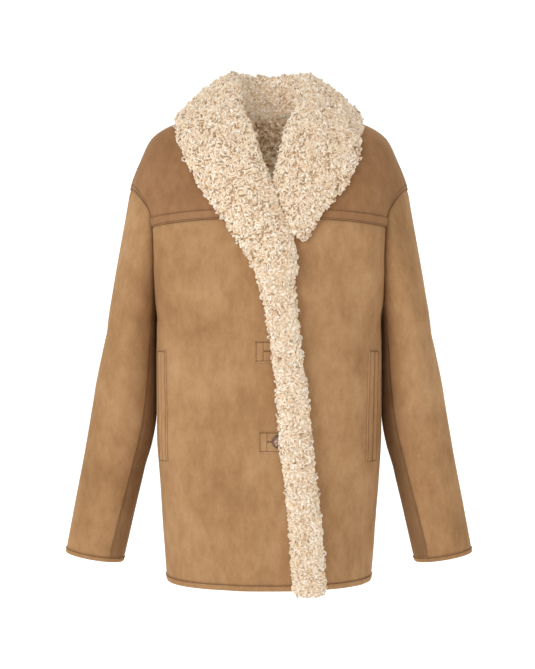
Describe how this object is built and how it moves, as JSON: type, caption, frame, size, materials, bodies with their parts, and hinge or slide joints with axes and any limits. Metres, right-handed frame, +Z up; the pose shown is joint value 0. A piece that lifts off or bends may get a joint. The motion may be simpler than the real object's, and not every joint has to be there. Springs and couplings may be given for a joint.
{
  "type": "faux shearling coat",
  "caption": "Tan faux suede coat with a curly cream fur shawl collar and front edge, filled out as worn, open at neck, hem and cuffs.",
  "frame": {"origin": "middle of the neck at the level of the neck seam, where the wearer's shoulders hold the coat", "axes": "+Z up along the coat, -Y out of the coat's front, +X towards the wearer's left"},
  "size_m": [0.6708, 0.2999, 0.8446],
  "materials": {
    "suede": "matt",
    "suede_yoke": "matt",
    "fur": "matt",
    "fur_lining": "matt",
    "button": "gloss"
  },
  "bodies": {
    "root": {"back": "suede", "front_right": "suede", "front_left": "suede", "yoke_right": "suede_yoke", "yoke_left": "suede_yoke", "yoke_lap_right": "suede_yoke", "yoke_lap_left": "suede_yoke", "sleeve_top_right": "suede", "sleeve_top_left": "suede", "sleeve_under_right": "suede", "sleeve_under_left": "suede", "cuff_right": "suede", "cuff_left": "suede", "hem_back": "suede", "hem_front_right": "suede", "hem_front_left": "suede", "collar_right": "fur", "collar_left": "fur", "front_fur_edge": "fur", "lining_back": "fur_lining", "pocket_front_right": "suede", "pocket_side_right": "suede", "pocket_front_left": "suede", "pocket_side_left": "suede", "tab_upper": "suede", "tab_lower": "suede", "button_lower": "button"}
  },
  "joints": []
}
